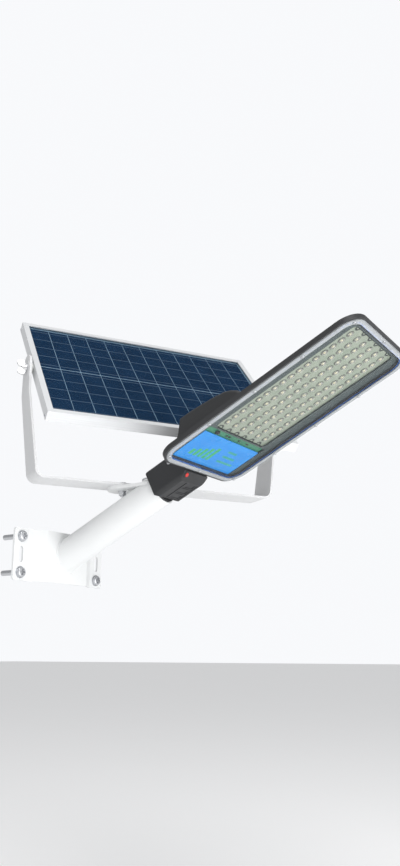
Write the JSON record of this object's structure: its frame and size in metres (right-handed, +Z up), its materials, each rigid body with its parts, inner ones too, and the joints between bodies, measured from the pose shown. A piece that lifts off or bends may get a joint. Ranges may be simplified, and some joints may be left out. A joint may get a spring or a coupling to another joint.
{
  "type": "solar street lamp",
  "caption": "Solar street lamp: wall or pole bracket arm, LED head with a battery box, and a solar panel on a panning and tilting yoke.",
  "frame": {"origin": "centre of the wall plate on its back face, midway between the four wall bolts", "axes": "+Z up, +Y into the wall, the arm and lamp head point towards -Y, +X to the right seen from the wall"},
  "size_m": [0.5533, 0.7278, 0.5159],
  "materials": {
    "white_paint": "gloss powder coat",
    "galvanised": "zinc plated",
    "yoke_paint": "satin powder coat",
    "frame_alu": "anodised",
    "plastic_key": "moulded",
    "cover_glass": "textured tempered glass",
    "silicon": "dark blue cells",
    "ribbon": "tinned copper",
    "backsheet": "white sheet",
    "black_plastic": "moulded",
    "brass_clamp": "plain",
    "spacer_nylon": "nylon",
    "steel_screw": "plated",
    "wing_steel": "nickel plated",
    "head_grey": "fine texture charcoal coat",
    "fitter_grey": "fine texture charcoal coat",
    "cover_black": "moulded charcoal",
    "pane_clear": "clear polycarbonate",
    "rim_alu": "satin",
    "seal_blue": "silicone",
    "pcb_board": "solder mask",
    "pcb_green": "solder mask",
    "led_yellow": "phosphor",
    "lens_clear": "moulded lens",
    "bezel_grey": "moulded",
    "blue_sheet": "printed sheet",
    "component": "moulded packages",
    "ir_black": "infrared filter",
    "battery_wrap": "shrink sleeve",
    "nickel": "nickel strip",
    "tray_plastic": "moulded",
    "button_red": "moulded",
    "switch_black": "moulded"
  },
  "bodies": {
    "arm": {"wall_plate": "white_paint", "arm_tube": "white_paint", "arm_lug": "white_paint", "wall_bolts": "galvanised", "wall_washers": "galvanised", "pan_bolt": "galvanised", "pan_nut": "galvanised", "pan_washers": "galvanised", "lock_screws": "steel_screw"},
    "yoke": {"yoke": "yoke_paint", "wing_washers": "galvanised"},
    "panel": {"frame_rail_top": "frame_alu", "frame_rail_bottom": "frame_alu", "frame_rail_left": "frame_alu", "frame_rail_right": "frame_alu", "corner_keys": "plastic_key", "frame_screws": "steel_screw", "panel_glass": "cover_glass", "solar_cells": "silicon", "cell_ribbons": "ribbon", "panel_backsheet": "backsheet", "junction_box": "black_plastic", "junction_lid": "black_plastic", "junction_terminals": "brass_clamp", "junction_gland": "black_plastic", "pivot_inserts": "steel_screw", "pivot_spacers": "spacer_nylon"},
    "wing_left": {"wing_bolt_left": "wing_steel"},
    "wing_right": {"wing_bolt_right": "wing_steel"},
    "lamp": {"lamp_housing": "head_grey", "slip_fitter": "fitter_grey", "fitter_screws": "steel_screw", "fitter_side_screws": "steel_screw", "inlet_gland": "black_plastic", "cover_rim": "rim_alu", "front_pane": "pane_clear", "cover_seal": "seal_blue", "cover_screws": "steel_screw", "led_board": "pcb_board", "board_screws": "steel_screw", "led_lenses": "lens_clear", "led_chips": "led_yellow", "inner_bezel": "bezel_grey", "controller_board": "pcb_green", "board_components": "component", "ir_receiver": "ir_black", "blue_panel": "blue_sheet", "battery_cover": "cover_black", "battery_cover_screws": "steel_screw", "battery_tray": "tray_plastic", "battery_cells": "battery_wrap", "battery_links": "nickel", "button_ring": "black_plastic", "button_switch": "switch_black"},
    "button": {"power_button": "button_red"}
  },
  "joints": [
    {"name": "yoke_pan", "type": "hinge", "parent": "arm", "child": "yoke", "pos_m": [0, -0.15161, 0.12645], "axis": [0, 0, 1], "range_deg": [-0.5, 55]},
    {"name": "panel_tilt", "type": "hinge", "parent": "yoke", "child": "panel", "pos_m": [0.05627, -0.1861, 0.33445], "axis": [0.8526, -0.5225, 0], "range_deg": [-47.5, 20]},
    {"name": "wing_left_turn", "type": "hinge", "parent": "panel", "child": "wing_left", "pos_m": [0.05627, -0.1861, 0.33445], "axis": [0.8526, -0.5225, 0], "range_deg": [0, 270]},
    {"name": "wing_right_turn", "type": "hinge", "parent": "panel", "child": "wing_right", "pos_m": [0.05627, -0.1861, 0.33445], "axis": [0.8526, -0.5225, 0], "range_deg": [-270, 0]},
    {"name": "head_roll", "type": "hinge", "parent": "arm", "child": "lamp", "pos_m": [0, -0.25569, 0.11998], "axis": [0, -0.8988, 0.4384], "range_deg": [-10, 1]},
    {"name": "power_press", "type": "slide", "parent": "lamp", "child": "button", "axis": [0, 0.8184, 0.5746], "range_m": [0, 0.0012], "stiffness_N_per_m": 600, "springref_m": -0.0008}
  ]
}
